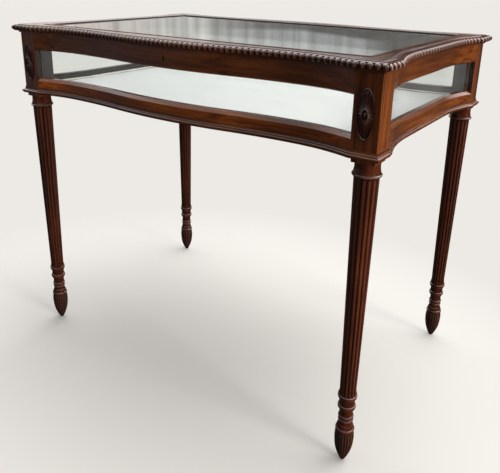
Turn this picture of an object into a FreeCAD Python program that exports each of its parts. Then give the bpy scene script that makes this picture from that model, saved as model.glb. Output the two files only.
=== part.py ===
import FreeCAD, Part
import math
import os

# Glazed display table: four turned and reeded legs carry a shallow glazed case under a hinged glass lid.
# Millimetres. X runs along the long front, Y from front to back, Z up. The origin is on the floor, centred.

V = FreeCAD.Vector
UP = V(0, 0, 1)
ORIGIN = V(0, 0, 0)

# Case
case_width = 875.0  # over the outer faces of the corner blocks
case_depth = 556.0
leg_height = 742.0  # floor to the top of the blocks and rails
block_side = 46.0
upper_rail_height = 37.0
glass_opening_height = 64.0
lower_rail_height = 36.0
rail_thickness = 20.0
lower_rail_bevel_height = 6.0
lower_rail_bevel_width = 5.0
upper_rail_bevel = 2.0

# Plan of the sides
bow_proud = 1.5  # middle of a long side, in front of the block faces
long_hollow = 18.0  # deepest setback of a long side
long_end_run = 104.5  # tight hollow beside each block
short_hollow = 21.5
short_end_run = 125.0

# Mortise and tenon
tenon_length = 20.0
tenon_thickness = 8.0
tenon_setback = 7.0  # behind the outer face of the block
tenon_shoulder = 6.0
joint_clearance = 0.1

# Side glazing
pane_setback = 8.0  # rail face to the rebate wall in front of the pane
pane_thickness = 3.0
pane_play = 0.2
rebate_depth = 5.0
bead_thickness = 6.0
bead_cover = 2.5  # how far an upright bead laps over the glass

# Floor of the case
floor_board_thickness = 8.0
floor_rebate_width = 8.0
floor_play = 0.4
lining_board_thickness = 9.0
lining_thickness = 2.5
border_width = 7.0
border_height = 4.0
floor_screw_length = 14.0
floor_screw_radius = 1.6
floor_screw_head_radius = 2.8
floor_screw_head_height = 1.6

# Base moulding
base_foot_depth = 4.5
base_foot_height = 1.6
base_nose_depth = 7.0
base_nose_height = 5.4
base_cove_depth = 3.0
base_cove_height = 7.5
base_top_lip = 0.8

# Leg
pad_side = 42.0
pad_height = 8.0
shaft_top_radius = 21.0
shaft_bottom_radius = 15.1
toe_radius = 4.2

# Turned members from the lowest up: height, radius at the top, and how far the middle stands out
FOOT_MEMBERS = [
    (46.0, 17.8, 2.5),  # bud
    (20.0, 16.8, 0.9),  # shoulder of the bud
    (2.5, 16.3, 0.0),
    (7.0, 16.3, 1.5),  # bead
    (1.5, 15.8, 0.0),
    (7.0, 13.7, 0.6),  # ovolo
    (6.5, 13.2, -0.3),
    (5.0, 13.2, 1.0),  # bead
    (2.3, 13.0, 0.0),
    (6.2, 13.0, 1.5),  # bead
    (15.0, 14.6, -0.9),  # ankle
    (8.5, 14.8, 2.1),  # ring
    (14.5, 16.2, -0.7),  # hollow
    (7.5, 16.6, 1.5),  # collar under the reeds
    (8.5, shaft_bottom_radius, 0.0),
]
NECK_MEMBERS = [
    (6.5, shaft_top_radius, 0.0),  # plain band over the reeds
    (1.3, 22.6, 0.0),
    (6.2, 24.0, 1.6),  # ring
    (15.5, 21.3, -1.2),  # hollow
    (1.5, 21.3, 0.0),
]

# Reeds
reed_count = 14
reed_depth_top = 2.4
reed_depth_bottom = 1.8
reed_inset = 0.3  # crests stand this far inside the plain turning above and below

# Paterae on the long faces of the blocks
patera_width = 28.0
patera_height = 85.0
patera_rise = 3.0  # middle of the oval above the middle of the block
patera_thickness = 2.0
patera_rim_width = 1.6
patera_rim_rise = 1.2
patera_dome_rise = 2.6
patera_boss_radius = 3.6

# Lid
lid_gap = 0.4
lid_thickness = 17.0
lid_overhang = 15.5  # outermost edge beyond the block faces
lid_board_edge = 3.0  # edge of the lid frame itself beyond the block faces
sight_inset = 45.0  # glass opening, inwards from the block faces
lid_glass_thickness = 4.0
lid_rebate_width = 8.0
lid_rebate_depth = 6.0
lid_bead_proud = 0.8
lid_glass_play = 0.5
tongue_side = 24.0
tongue_thickness = 3.0
nose_bottom_rise = 3.6  # underside of the edge moulding above the underside of the lid
nose_cove_rise = 1.5
nose_lip_radius = 4.5
nose_inner_drop = 0.6

# Hinges
hinge_spread = 220.0  # between the middles of the two hinges
hinge_length = 60.0
hinge_axis_out = 3.0  # behind the block faces
hinge_knuckle_radius = 3.0
hinge_pin_radius = 1.4
hinge_pin_clearance = 0.15
hinge_leaf_thickness = 1.5
hinge_leaf_width = 17.0
hinge_knuckle_gap = 0.4
hinge_screws = 3
screw_head_radius = 2.6
screw_length = 9.0
screw_radius = 1.3

# Lock
lock_width = 44.0
lock_height = 29.0
lock_depth = 8.4
lock_wall = 1.2
lock_play = 0.1
bolt_length = 16.0
bolt_height = 5.0
bolt_thickness = 2.6
bolt_travel = 8.0
bolt_below_top = 9.0
bolt_clearance = 0.3
staple_width = 3.0
staple_wall = 1.0
staple_play = 0.5
link_plate_length = 38.0
link_plate_width = 12.0
link_plate_thickness = 1.5
keyhole_radius = 2.4
keyhole_slot_width = 2.6
keyhole_slot_length = 9.8
keyhole_below_top = 16.5
escutcheon_wall = 1.2
escutcheon_depth = 2.5

# Heights that follow
block_bottom = leg_height - upper_rail_height - glass_opening_height - lower_rail_height
opening_bottom = block_bottom + lower_rail_height
opening_top = leg_height - upper_rail_height
floor_top = block_bottom + floor_board_thickness
lining_board_top = floor_top + lining_board_thickness
lining_top = lining_board_top + lining_thickness
lid_bottom = leg_height + lid_gap
lid_top = lid_bottom + lid_thickness
reed_bottom_height = sum(member[0] for member in FOOT_MEMBERS)
reed_top_height = block_bottom - pad_height - sum(member[0] for member in NECK_MEMBERS)
axis_height = leg_height + lid_gap / 2

# Work values
extra_angle = 4.0  # degrees that a curve runs on past the blocks before it is trimmed
beyond = 60.0  # how far cutting solids reach past the wood
pane_inner = pane_setback + 2 * pane_play + pane_thickness


def put(name, shape):
    """write one sub-part, a solid or a group of solids, to its own file"""
    shape.exportStep("parts/" + name + ".step")
    print(name, len(shape.Solids), round(shape.Volume))


def box(x0, x1, y0, y1, z0, z1):
    return Part.makeBox(x1 - x0, y1 - y0, z1 - z0, V(x0, y0, z0))


def upright(radius, x, y, z0, z1):
    return Part.makeCylinder(radius, z1 - z0, V(x, y, z0))


def along_x(radius, x0, x1, y, z):
    return Part.makeCylinder(radius, x1 - x0, V(x0, y, z), V(1, 0, 0))


def moved(shape, x, y, z):
    copy = shape.copy()
    copy.translate(V(x, y, z))
    return copy


def turned(shape, degrees, centre=ORIGIN):
    copy = shape.copy()
    copy.rotate(centre, UP, degrees)
    return copy


def profile_face(steps, place):
    """closed face from points joined by lines; a pair (through, end) is an arc"""
    edges = []
    here = steps[0]
    for step in steps[1:] + steps[:1]:
        if isinstance(step[0], tuple):
            through, end = step
            edges.append(Part.Arc(place(here), place(through), place(end)).toShape())
            here = end
        else:
            edges.append(Part.makeLine(place(here), place(step)))
            here = step
    return Part.Face(Part.Wire(edges))


def section(steps):
    """section across a side piece: first number outwards from the plan line, second number up"""
    return profile_face(steps, lambda p: V(0, -p[0], p[1]))


def rectangle(outer, inner, z0, z1):
    return [(outer, z0), (outer, z1), (inner, z1), (inner, z0)]


class Side:
    """one side of the case, worked out as if it faced the front, then turned into place"""

    def __init__(self, face, half, hollow, end_run, proud):
        self.face = face
        self.half = half
        self.hollow = hollow
        self.span = half - block_side
        self.deep = self.span - end_run
        self.end_radius = (end_run ** 2 + hollow ** 2) / (2 * hollow)
        self.end_angle = math.degrees(math.asin(end_run / self.end_radius))
        self.proud = proud
        if proud is not None:
            rise = hollow + proud
            self.bow_angle = math.degrees(2 * math.atan(rise / self.deep))
            self.bow_radius = self.deep / (2 * math.sin(math.radians(self.bow_angle)))

    def runs(self, extra):
        """plan line from left to right: middle x, setback, centre behind, start and end angle"""
        end = self.end_angle + extra
        tight = self.end_radius
        left = (-self.deep, -self.hollow, -tight, end, 0.0)
        right = (self.deep, -self.hollow, -tight, 0.0, -end)
        if self.proud is None:
            return [left, (-self.deep, -self.hollow, None, self.deep, 0.0), right]
        wide = self.bow_radius
        angle = self.bow_angle
        return [
            left,
            (-self.deep, -self.hollow, -wide, 0.0, -angle),
            (0.0, self.proud, wide, -angle, angle),
            (self.deep, -self.hollow, -wide, angle, 0.0),
            right,
        ]

    def sweep(self, steps, extra=extra_angle):
        """a section carried along the whole plan line, in one solid"""
        face = section(steps)
        solids = []
        for x, outward, radius, start, end in self.runs(extra):
            at = moved(face, x, -self.face - outward, 0)
            if radius is None:
                solids.append(at.extrude(V(2 * start, 0, 0)))
                continue
            centre = V(x, -self.face - outward + radius, 0)
            first = min(start, end)
            solids.append(turned(at, first, centre).revolve(centre, UP, max(start, end) - first))
        return solids[0].multiFuse(solids[1:]).Solids[0]

    def between(self, shape, reach):
        """the middle of a swept piece, out to the block faces and as much further as reach says"""
        limit = self.span + reach
        return shape.common(box(-limit, limit, -self.face - beyond, beyond - self.face, 0, lid_top + beyond))

    def arc(self, x, outward, radius, start, end, offset):
        """one arc of the plan line moved outwards"""
        size = radius + offset
        centre = V(x, -self.face - outward + radius, 0)
        points = []
        for angle in (start, (start + end) / 2, end):
            turn = math.radians(angle)
            points.append(centre + V(size * math.sin(turn), -size * math.cos(turn), 0))
        return Part.Arc(*points).toShape()

    def outline(self, offset):
        """edges from corner tip to corner tip at one distance outside the block faces"""
        reach = math.acos((self.end_radius - self.hollow - offset) / (self.end_radius - offset))
        edges = []
        for x, outward, radius, start, end in self.runs(math.degrees(reach) - self.end_angle):
            if radius is None:
                y = -self.face - outward - offset
                edges.append(Part.makeLine(V(x, y, 0), V(x + 2 * start, y, 0)))
            else:
                edges.append(self.arc(x, outward, radius, start, end, offset))
        first = edges[0].Vertexes[0].Point
        last = edges[-1].Vertexes[-1].Point
        tip = self.half + offset
        left = Part.makeLine(V(-tip, -self.face - offset, 0), first)
        right = Part.makeLine(last, V(tip, -self.face - offset, 0))
        return [left] + edges + [right]

    def mitre(self, shape):
        """trim a side piece to the 45 degree lines through the block corners"""
        deep = sight_inset + beyond
        out = self.half + beyond
        narrow = self.half - deep
        points = [
            V(-out, -self.face - beyond, 0),
            V(out, -self.face - beyond, 0),
            V(narrow, -self.face + deep, 0),
            V(-narrow, -self.face + deep, 0),
        ]
        wedge = Part.Face(Part.makePolygon(points + points[:1])).extrude(V(0, 0, lid_top + beyond))
        return shape.common(wedge)

    def lengths(self, steps):
        """a moulding in three lengths: one bent along the rail and a straight one on each block"""
        half_kink = self.end_angle / 2
        size = 2 * (self.half + self.face)
        keep = box(-size, 0, -size, size, 0, lid_top + beyond)
        keep = moved(turned(keep, -half_kink), self.span, -self.face, 0)
        bent = self.sweep(steps).common(keep).common(keep.mirror(ORIGIN, V(1, 0, 0)))
        start = self.span - beyond / 2
        straight = moved(section(steps), start, -self.face, 0).extrude(V(beyond + block_side + beyond, 0, 0))
        right = self.mitre(straight.cut(keep))
        return [bent.Solids[0], right.Solids[0], right.mirror(ORIGIN, V(1, 0, 0)).Solids[0]]


half_width = case_width / 2
half_depth = case_depth / 2
long_side = Side(half_depth, half_width, long_hollow, long_end_run, bow_proud)
short_side = Side(half_width, half_depth, short_hollow, short_end_run, None)
SIDES = [
    ("front", long_side, 0),
    ("right", short_side, 90),
    ("back", long_side, 180),
    ("left", short_side, 270),
]


def case_corners():
    """name, x and y signs of the four corners"""
    for depth_name, y_sign in (("front", -1), ("back", 1)):
        for width_name, x_sign in (("left", -1), ("right", 1)):
            yield depth_name + "_" + width_name, x_sign, y_sign


# Rails and what is cut into them

def tenons(side, z0, z1, gap):
    """the two tenons of a rail; with a gap they are the mortises that take them"""
    solids = []
    for sign in (-1, 1):
        inner = side.span - tenon_setback
        outer = side.span + tenon_length + gap
        low, high = sorted((sign * inner, sign * outer))
        y0 = -side.face + tenon_setback - gap
        y1 = y0 + tenon_thickness + 2 * gap
        solids.append(box(low, high, y0, y1, z0 + tenon_shoulder - gap, z1 - tenon_shoulder + gap))
    return solids


def rail(side, steps, z0, z1):
    body = side.between(side.sweep(steps), 0)
    return body.multiFuse(tenons(side, z0, z1, 0)).removeSplitter()


def upper_rail_section():
    return [
        (-upper_rail_bevel, opening_top),
        (0, opening_top + upper_rail_bevel),
        (0, leg_height),
        (-rail_thickness, leg_height),
        (-rail_thickness, opening_top + rebate_depth),
        (-pane_setback, opening_top + rebate_depth),
        (-pane_setback, opening_top),
    ]


def lower_rail_section():
    inner_floor = -rail_thickness + floor_rebate_width
    return [
        (0, block_bottom),
        (0, opening_bottom - lower_rail_bevel_height),
        (-lower_rail_bevel_width, opening_bottom),
        (-pane_setback, opening_bottom),
        (-pane_setback, opening_bottom - rebate_depth),
        (-rail_thickness, opening_bottom - rebate_depth),
        (-rail_thickness, floor_top),
        (inner_floor, floor_top),
        (inner_floor, block_bottom),
    ]


def base_moulding_section():
    nose_bottom = block_bottom + base_foot_height
    nose_top = nose_bottom + base_nose_height
    nose_middle = (nose_bottom + nose_top) / 2
    cove_top = nose_top + base_cove_height
    cove_middle = (base_cove_depth * 0.3 + base_top_lip * 0.7, nose_top + base_cove_height * 0.3)
    return [
        (0, block_bottom),
        (base_foot_depth, block_bottom),
        (base_foot_depth, nose_bottom),
        ((base_nose_depth, nose_middle), (base_foot_depth, nose_top)),
        (base_cove_depth, nose_top),
        (cove_middle, (base_top_lip, cove_top)),
        (0, cove_top),
    ]


def rebate_in_posts(side):
    """rebate for the pane in the two blocks at the ends of a side, open to the inside"""
    z0 = opening_bottom - rebate_depth
    z1 = opening_top + rebate_depth
    swept = side.sweep(rectangle(-pane_setback, -block_side - beyond / 2, z0, z1))
    limit = side.span + rebate_depth
    solids = []
    for sign in (-1, 1):
        low, high = sorted((sign * (side.span - 1), sign * limit))
        solids.append(swept.common(box(low, high, -side.face, beyond - side.face, 0, lid_top)).Solids[0])
    return solids


def glazing_beads(side):
    """two bent beads along the rails and an upright bead in each block rebate"""
    outer = -pane_inner
    inner = outer - bead_thickness
    low = opening_bottom - rebate_depth
    high = opening_top + rebate_depth
    bottom = side.between(side.sweep(rectangle(outer, inner, low, opening_bottom)), 0)
    top = side.between(side.sweep(rectangle(outer, inner, opening_top, high)), 0)
    upright_beads = side.sweep(rectangle(outer, inner, low + pane_play, high - pane_play))
    ends = side.between(upright_beads, rebate_depth - pane_play)
    clear = box(-side.span, side.span, -side.face, beyond - side.face, low, opening_bottom)
    clear_top = moved(clear, 0, 0, opening_top - low)
    middle = side.span - bead_cover
    ends = ends.cut(box(-middle, middle, -side.face, beyond - side.face, low, high))
    ends = ends.cut(clear).cut(clear_top)
    return [bottom.Solids[0], top.Solids[0]] + ends.Solids


def pane(side):
    outer = -pane_setback - pane_play
    low = opening_bottom - rebate_depth + pane_play
    high = opening_top + rebate_depth - pane_play
    swept = side.sweep(rectangle(outer, outer - pane_thickness, low, high))
    return side.between(swept, rebate_depth - pane_play).Solids[0]


# Legs

def turning(members, height, radius):
    """solid of revolution from members stacked on a first radius, each one straight or an arc"""
    steps = [(0, height), (radius, height)]
    for rise, end, proud in members:
        middle = ((radius + end) / 2 + proud, height + rise / 2)
        radius = end
        height += rise
        steps.append((middle, (radius, height)) if proud else (radius, height))
    steps.append((0, height))
    return profile_face(steps, lambda p: V(p[0], 0, p[1])).revolve(ORIGIN, UP, 360)


def reed_ring(radius, depth, height):
    """closed ring of convex reeds: one arc over each reed, meeting in the grooves"""
    step = 2 * math.pi / reed_count

    def point(size, angle):
        return V(size * math.cos(angle), size * math.sin(angle), height)

    edges = []
    for number in range(reed_count):
        start = (number + 0.25) * step
        crest = point(radius, start + step / 2)
        first = point(radius - depth, start)
        last = point(radius - depth, start + step)
        edges.append(Part.Arc(first, crest, last).toShape())
    return Part.Wire(edges)


def leg(x_sign, y_sign):
    """square block, pad, turned neck, reeded taper and turned foot in one piece of wood"""
    half = block_side / 2
    pad = pad_side / 2
    axis_x = half_width - half
    axis_y = half_depth - half
    block = box(-half, half, -half, half, block_bottom, leg_height)
    pad_block = box(-pad, pad, -pad, pad, block_bottom - pad_height, block_bottom)
    low_ring = reed_ring(shaft_bottom_radius - reed_inset, reed_depth_bottom, reed_bottom_height)
    high_ring = reed_ring(shaft_top_radius - reed_inset, reed_depth_top, reed_top_height)
    shaft = Part.makeLoft([low_ring, high_ring], True, True)
    foot = turning(FOOT_MEMBERS, 0, toe_radius)
    neck = turning(NECK_MEMBERS, reed_top_height, shaft_top_radius)
    solid = moved(block.multiFuse([pad_block, neck, shaft, foot]), axis_x, axis_y, 0)
    solid = solid.cut(Part.makeCompound(block_cuts))
    if x_sign * y_sign < 0:
        solid = solid.mirror(ORIGIN, V(1, 0, 0))
    if y_sign < 0:
        solid = turned(solid, 180)
    return solid.Solids[0]


def cuts_in_block():
    """mortises and rebates in the block at the right-hand back corner"""
    cuts = []
    for side, degrees in ((long_side, 180), (short_side, 90)):
        tools = tenons(side, opening_top, leg_height, joint_clearance)
        tools += tenons(side, floor_top, opening_bottom, joint_clearance)
        tools += rebate_in_posts(side)
        cuts += [turned(tool, degrees) for tool in tools]
    return cuts


def oval(width, depth):
    """upright oval, as a wire, at one depth in front of the block"""
    tall = patera_height / 2 - (patera_width - width) / 2
    shape = Part.Ellipse(V(0, 0, 0), tall, width / 2).toShape()
    shape.rotate(ORIGIN, UP, 90)
    shape.rotate(ORIGIN, V(1, 0, 0), 90)
    shape.translate(V(0, -depth, 0))
    return Part.Wire([shape])


def patera():
    """oval in relief, facing the front: a flat ground, a raised rim and a domed middle with a boss"""
    field = patera_width - 2 * patera_rim_width
    rim_top = patera_thickness + patera_rim_rise
    dome_top = patera_thickness + patera_dome_rise
    boss = 2 * patera_boss_radius
    ground = Part.makeLoft([oval(patera_width, 0), oval(patera_width, patera_thickness)], True, True)
    rim_edge = oval(patera_width - patera_rim_width, rim_top)
    rim = Part.makeLoft([oval(patera_width, patera_thickness), rim_edge], True, True)
    hollow = Part.makeLoft([oval(field, patera_thickness), rim_edge], True, True)
    skirt = Part.makeLoft([oval(field, patera_thickness), oval(field * 0.7, rim_top)], True, True)
    crown = Part.makeLoft([oval(field * 0.7, rim_top), oval(boss, dome_top)], True, True)
    button = Part.makeSphere(patera_boss_radius, V(0, -dome_top + patera_boss_radius / 2, 0))
    disc = ground.multiFuse([rim.cut(hollow), skirt, crown, button])
    back = box(-patera_width, patera_width, 0, patera_width, -patera_height, patera_height)
    return disc.cut(back).Solids[0]


# Floor of the case

def floor_shape(offset, z0, z1, clearance):
    """flat board that follows the plan line at one offset and is notched round the blocks"""
    edges = []
    for name, side, degrees in SIDES:
        turned_edges = [turned(edge, degrees) for edge in side.outline(offset)]
        edges += turned_edges
    board = Part.Face(Part.Wire(edges)).extrude(V(0, 0, z1 - z0))
    board.translate(V(0, 0, z0))
    inner_x = half_width - block_side - clearance
    inner_y = half_depth - block_side - clearance
    for name, x_sign, y_sign in case_corners():
        x0, x1 = sorted((x_sign * inner_x, x_sign * (half_width + beyond)))
        y0, y1 = sorted((y_sign * inner_y, y_sign * (half_depth + beyond)))
        board = board.cut(box(x0, x1, y0, y1, 0, lid_top))
    return board.Solids[0]


def lining_border(side):
    """padded roll along one side of the lining"""
    outer = -rail_thickness - floor_play
    inner = outer - border_width
    middle = (outer + inner) / 2
    steps = [
        (outer, lining_top),
        ((middle, lining_top + border_height), (inner, lining_top)),
    ]
    return side.between(side.sweep(steps), -floor_play).Solids[0]


def floor_screw(x, y):
    """round-headed screw let in flush, pointing up through the floor board into a rail"""
    head = upright(floor_screw_head_radius, x, y, block_bottom, block_bottom + floor_screw_head_height)
    shank = upright(floor_screw_radius, x, y, block_bottom, block_bottom + floor_screw_length)
    return head.fuse(shank).Solids[0]


def floor_screw_places():
    """screws stand in the rebate: one in the middle of each side and one at each of its deepest places"""
    inwards = rail_thickness - floor_rebate_width / 2
    places = []
    for name, side, degrees in SIDES:
        middle = side.hollow if side.proud is None else -side.proud
        for x, setback in ((-side.deep, side.hollow), (0, middle), (side.deep, side.hollow)):
            spot = V(x, -side.face + setback + inwards, 0)
            places.append(FreeCAD.Rotation(UP, degrees).multVec(spot))
    return places


# Lock and keyhole, in the middle of the front

lock_front = -half_depth - bow_proud + rail_thickness - lock_depth
lock_back = lock_front + lock_depth
lock_middle = lock_front + lock_depth / 2
lock_bottom = leg_height - lock_height
bolt_low = leg_height - bolt_below_top - bolt_height
bolt_x = -bolt_length - staple_width / 2 - bolt_clearance


def keyhole(wall, y0, y1):
    """keyhole seen from the front, widened by a wall and cut from y0 to y1"""
    z = leg_height - keyhole_below_top
    round_part = Part.makeCylinder(keyhole_radius + wall, y1 - y0, V(0, y0, z), V(0, 1, 0))
    half = keyhole_slot_width / 2 + wall
    return round_part.fuse(box(-half, half, y0, y1, z - keyhole_slot_length - wall, z))


def escutcheon():
    front = -half_depth - bow_proud
    back = front + escutcheon_depth
    return keyhole(escutcheon_wall, front, back).cut(keyhole(0, front - 1, back + 1)).Solids[0]


def lock_case():
    """box lock let into the rail: hollow for the bolt, open at the top for the staple"""
    half = lock_width / 2
    outer = box(-half, half, lock_front, lock_back, lock_bottom, leg_height)
    inside = half - lock_wall
    y0 = lock_front + lock_wall
    y1 = lock_back - lock_wall
    cavity = box(-inside, inside, y0, y1, lock_bottom + lock_wall, leg_height - lock_wall)
    slot_half = staple_width / 2 + staple_play
    slot = box(-slot_half, slot_half, y0, y1, leg_height - 2 * lock_wall, leg_height + 1)
    case = outer.cut(cavity).cut(slot).cut(keyhole(0, lock_front - 1, y1))
    low = bolt_low - joint_clearance
    high = bolt_low + bolt_height + joint_clearance
    guide_y0 = lock_middle - bolt_thickness / 2 - joint_clearance
    guide_y1 = lock_middle + bolt_thickness / 2 + joint_clearance
    guides = []
    gate = slot_half + staple_play
    for x in (bolt_x + bolt_travel + bolt_clearance, -gate - lock_wall, gate):
        block = box(x, x + lock_wall, y0, y1, lock_bottom, leg_height)
        hole = box(x - 1, x + lock_wall + 1, guide_y0, guide_y1, low, high)
        guides.append(block.cut(hole))
    return case.multiFuse(guides).Solids[0]


def lock_bolt():
    y0 = lock_middle - bolt_thickness / 2
    return box(bolt_x, bolt_x + bolt_length, y0, y0 + bolt_thickness, bolt_low, bolt_low + bolt_height)


def link_plate():
    """plate let into the lid, with an eye that drops into the lock"""
    half = link_plate_length / 2
    wide = link_plate_width / 2
    plate_top = lid_bottom + link_plate_thickness
    plate = box(-half, half, lock_middle - wide, lock_middle + wide, lid_bottom, plate_top)
    hole_half = bolt_thickness / 2 + staple_play
    eye_half = hole_half + staple_wall
    x = staple_width / 2
    eye_bottom = bolt_low - staple_play - staple_wall
    eye = box(-x, x, lock_middle - eye_half, lock_middle + eye_half, eye_bottom, lid_bottom)
    hole_bottom = bolt_low - staple_play
    hole_top = bolt_low + bolt_height + staple_play
    hole = box(-x - 1, x + 1, lock_middle - hole_half, lock_middle + hole_half, hole_bottom, hole_top)
    plate = plate.fuse(eye.cut(hole))
    for sx, sy in link_screw_places():
        plate = plate.cut(screw(sx, sy, lid_bottom, 1))
    return plate.Solids[0]


def screw(x, y, z, direction):
    """countersunk screw with its head flush at z, pointing up (1) or down (-1)"""
    axis = V(0, 0, direction)
    head = Part.makeCone(screw_head_radius, screw_radius, screw_head_radius - screw_radius, V(x, y, z), axis)
    return head.fuse(Part.makeCylinder(screw_radius, screw_length, V(x, y, z), axis)).Solids[0]


def link_screw_places():
    reach = link_plate_length / 2 - 2 * screw_head_radius
    return [(-reach, lock_middle), (reach, lock_middle)]


# Hinges, at the back

axis_y = half_depth + hinge_axis_out
HINGES = [("left", -hinge_spread / 2), ("right", hinge_spread / 2)]


def knuckle_ends(x):
    """the three knuckles of a hinge, from left to right: the outer two on the case, the middle one on the lid"""
    third = hinge_length / 3
    starts = [x - hinge_length / 2 + number * third for number in range(3)]
    return [(start, start + third - hinge_knuckle_gap) for start in starts]


def hinge_leaf(x, z0, z1, owned):
    """flat leaf with its own knuckles, bored for the pin, and cleared round the other leaf's knuckles"""
    start = x - hinge_length / 2
    end = start + hinge_length - hinge_knuckle_gap
    leaf = box(start, end, axis_y - hinge_leaf_width - hinge_knuckle_radius, axis_y, z0, z1)
    knuckles = knuckle_ends(x)
    around = hinge_knuckle_radius + hinge_knuckle_gap
    for number, (x0, x1) in enumerate(knuckles):
        if number in owned:
            leaf = leaf.fuse(along_x(hinge_knuckle_radius, x0, x1, axis_y, axis_height))
        else:
            gap = hinge_knuckle_gap
            leaf = leaf.cut(along_x(around, x0 - gap, x1 + gap, axis_y, axis_height))
    bore = hinge_pin_radius + hinge_pin_clearance
    leaf = leaf.cut(along_x(bore, start - 1, end + 1, axis_y, axis_height))
    for sx, sy in hinge_screw_places(x):
        direction = 1 if z1 > axis_height else -1
        leaf = leaf.cut(screw(sx, sy, z0 if direction > 0 else z1, direction))
    return leaf.Solids[0]


def hinge_pin(x):
    start = x - hinge_length / 2
    return along_x(hinge_pin_radius, start, start + hinge_length - hinge_knuckle_gap, axis_y, axis_height)


def hinge_screw_places(x):
    y = axis_y - hinge_knuckle_radius - hinge_leaf_width / 2
    step = hinge_length / hinge_screws
    first = x - step * (hinge_screws - 1) / 2
    return [(first + number * step, y) for number in range(hinge_screws)]


def leaf_recess(x, z0, z1):
    half = hinge_length / 2 + joint_clearance
    y0 = axis_y - hinge_leaf_width - hinge_knuckle_radius - joint_clearance
    return box(x - half, x + half, y0, axis_y + beyond, z0, z1)


def knuckle_room(x):
    half = hinge_length / 2 + hinge_knuckle_gap
    return along_x(hinge_knuckle_radius + hinge_knuckle_gap, x - half, x + half, axis_y, axis_height)


# Lid

def sight_frame(side, outer, inner, z0, z1):
    """straight mitred strip round the glass opening, between two distances inwards from the block faces"""
    points = [
        V(-side.half + outer, -side.face + outer, z0),
        V(side.half - outer, -side.face + outer, z0),
        V(side.half - inner, -side.face + inner, z0),
        V(-side.half + inner, -side.face + inner, z0),
    ]
    return Part.Face(Part.makePolygon(points + points[:1])).extrude(V(0, 0, z1 - z0))


def tongues(gap):
    """loose tongues across the mitres of the lid; with a gap they are the slots that take them"""
    middle = (lid_board_edge - sight_inset) / 2
    half = tongue_side / 2 + gap
    z0 = lid_bottom + lid_thickness / 3 - gap
    z1 = z0 + tongue_thickness + 2 * gap
    solids = []
    for name, x_sign, y_sign in case_corners():
        plate = turned(box(-half, half, -half, half, z0, z1), 45)
        solids.append(moved(plate, x_sign * (half_width + middle), y_sign * (half_depth + middle), 0))
    return solids


def lid_member(side, degrees):
    """one mitred member of the lid frame, wavy outside and straight at the glass"""
    edges = side.outline(lid_board_edge)
    left = edges[0].Vertexes[0].Point
    right = edges[-1].Vertexes[-1].Point
    inner_left = V(-side.half + sight_inset, -side.face + sight_inset, 0)
    inner_right = V(side.half - sight_inset, -side.face + sight_inset, 0)
    edges += [
        Part.makeLine(right, inner_right),
        Part.makeLine(inner_right, inner_left),
        Part.makeLine(inner_left, left),
    ]
    board = moved(Part.Face(Part.Wire(edges)).extrude(V(0, 0, lid_thickness)), 0, 0, lid_bottom)
    ledge = lid_top - lid_rebate_depth
    rebate_edge = sight_inset - lid_rebate_width
    board = board.cut(sight_frame(side, rebate_edge, sight_inset + beyond, ledge, lid_top + 1))
    return turned(board, degrees).cut(Part.makeCompound(lid_cuts)).Solids[0]


def cuts_in_lid():
    cuts = tongues(joint_clearance)
    for name, x in HINGES:
        cuts.append(leaf_recess(x, lid_bottom - 1, lid_bottom + hinge_leaf_thickness))
        cuts.append(knuckle_room(x))
        cuts += [screw(sx, sy, lid_bottom, 1) for sx, sy in hinge_screw_places(x)]
    half = link_plate_length / 2 + joint_clearance
    wide = link_plate_width / 2 + joint_clearance
    top = lid_bottom + link_plate_thickness
    cuts.append(box(-half, half, lock_middle - wide, lock_middle + wide, lid_bottom - 1, top))
    cuts += [screw(x, y, lid_bottom, 1) for x, y in link_screw_places()]
    return cuts


def lid_edge_section():
    """edge moulding: a small cove below, then a lip that rounds over to the top of the lid"""
    low = lid_bottom + nose_bottom_rise
    lip = low + nose_cove_rise + nose_lip_radius
    out = lid_overhang
    lip_start = out - nose_lip_radius
    end = lid_board_edge + 1
    rise = lid_top - nose_inner_drop - lip
    run = out - end
    radius = (run ** 2 + rise ** 2) / (2 * run)
    centre = out - radius
    slant = math.radians(52)
    shoulder = (centre + radius * math.cos(slant), lip + radius * math.sin(slant))
    diagonal = nose_lip_radius * math.sqrt(0.5)
    lip_middle = (lip_start + diagonal, lip - diagonal)
    return [
        (lid_board_edge, low),
        (lip_start - nose_cove_rise, low),
        (lip_start, lip - nose_lip_radius),
        (lip_middle, (out, lip)),
        (shoulder, (end, lid_top - nose_inner_drop)),
        (lid_board_edge, lid_top - nose_inner_drop),
    ]


def lid_edge(side, degrees):
    lengths = [turned(length, degrees) for length in side.lengths(lid_edge_section())]
    room = Part.makeCompound([knuckle_room(x) for name, x in HINGES])
    return [length.cut(room).Solids[0] for length in lengths]


def glass_bead(side):
    """strip that holds the lid glass down, rounded towards the glass"""
    ledge = lid_top - lid_rebate_depth + lid_glass_thickness
    top = lid_top + lid_bead_proud
    outer = -sight_inset + lid_rebate_width - joint_clearance
    inner = -sight_inset
    round_over = (top - ledge) * 0.7
    shoulder = (inner + 0.3 * round_over, top - 0.3 * round_over)
    steps = [
        (outer, ledge),
        (outer, top),
        (inner + round_over, top),
        (shoulder, (inner, top - round_over)),
        (inner, ledge),
    ]
    straight = moved(section(steps), -side.half, -side.face, 0).extrude(V(2 * side.half, 0, 0))
    return side.mitre(straight).Solids[0]


def lid_glass():
    edge = sight_inset - lid_rebate_width + lid_glass_play
    x = half_width - edge
    y = half_depth - edge
    low = lid_top - lid_rebate_depth
    return box(-x, x, -y, y, low, low + lid_glass_thickness)


# Write the pieces

os.makedirs("parts", exist_ok=True)

block_cuts = cuts_in_block()
lid_cuts = cuts_in_lid()

for name, x_sign, y_sign in case_corners():
    put("leg_" + name, leg(x_sign, y_sign))

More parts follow.
